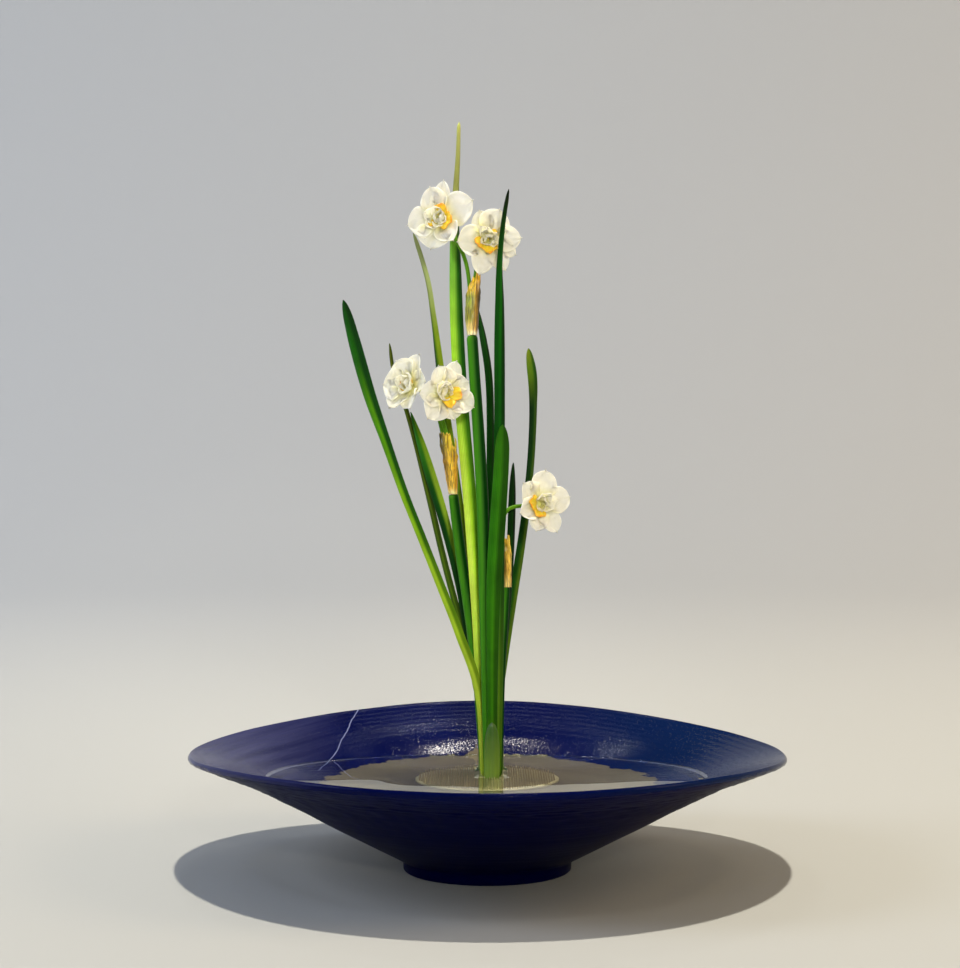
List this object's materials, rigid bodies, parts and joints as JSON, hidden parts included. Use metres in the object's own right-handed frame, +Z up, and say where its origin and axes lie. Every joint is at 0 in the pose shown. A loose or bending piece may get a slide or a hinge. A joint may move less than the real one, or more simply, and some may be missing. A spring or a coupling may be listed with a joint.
{
  "type": "ikebana arrangement",
  "caption": "Ikebana arrangement: double narcissus flowers and strap leaves on a pin holder under water in a wide, shallow, conical glazed bowl on a flat foot.",
  "frame": {"origin": "centre of the bowl's foot, on the surface it stands on", "axes": "+Z up, -Y towards the viewer of the arrangement, +X to the viewer's right"},
  "size_m": [0.3669, 0.3461, 0.46],
  "materials": {
    "cobalt_glaze": "glossy dark cobalt glaze, thin and speckled near the rim",
    "water": "clear still water",
    "brass_pins": "dull brass pins in a dark lead plate",
    "leaf_green": "waxy mid-green leaf",
    "leaf_lime": "waxy yellow-green young leaf",
    "leaf_dark": "waxy blue-green leaf",
    "sheath_pale_green": "pale fleshy leaf base",
    "spathe_papery": "dry, thin, papery sheath",
    "petal_ivory": "soft ivory petal",
    "corona_yellow": "soft egg-yellow crown"
  },
  "bodies": {
    "root": {"bowl": "cobalt_glaze", "water": "water", "kenzan": "brass_pins", "leaf_front": "leaf_green", "leaf_right_tall": "leaf_dark", "leaf_far_left": "leaf_lime", "leaf_tallest": "leaf_lime", "leaf_right_short": "leaf_dark", "leaf_centre_back": "leaf_dark", "leaf_left_tall": "leaf_green", "leaf_left_narrow": "leaf_green", "leaf_left_broad": "leaf_dark", "leaf_far_right": "leaf_green", "sheath_front": "sheath_pale_green", "sheath_back": "sheath_pale_green", "scape_a": "leaf_green", "scape_b": "leaf_green", "scape_c": "leaf_green", "spathe_a": "spathe_papery", "spathe_b": "spathe_papery", "spathe_c": "spathe_papery", "floret_a1": "petal_ivory", "floret_a2": "petal_ivory", "floret_b1": "petal_ivory", "floret_b2": "petal_ivory", "floret_c": "petal_ivory", "corona_a1": "corona_yellow", "corona_a2": "corona_yellow", "corona_b1": "corona_yellow", "corona_b2": "corona_yellow", "corona_c": "corona_yellow"}
  },
  "joints": []
}
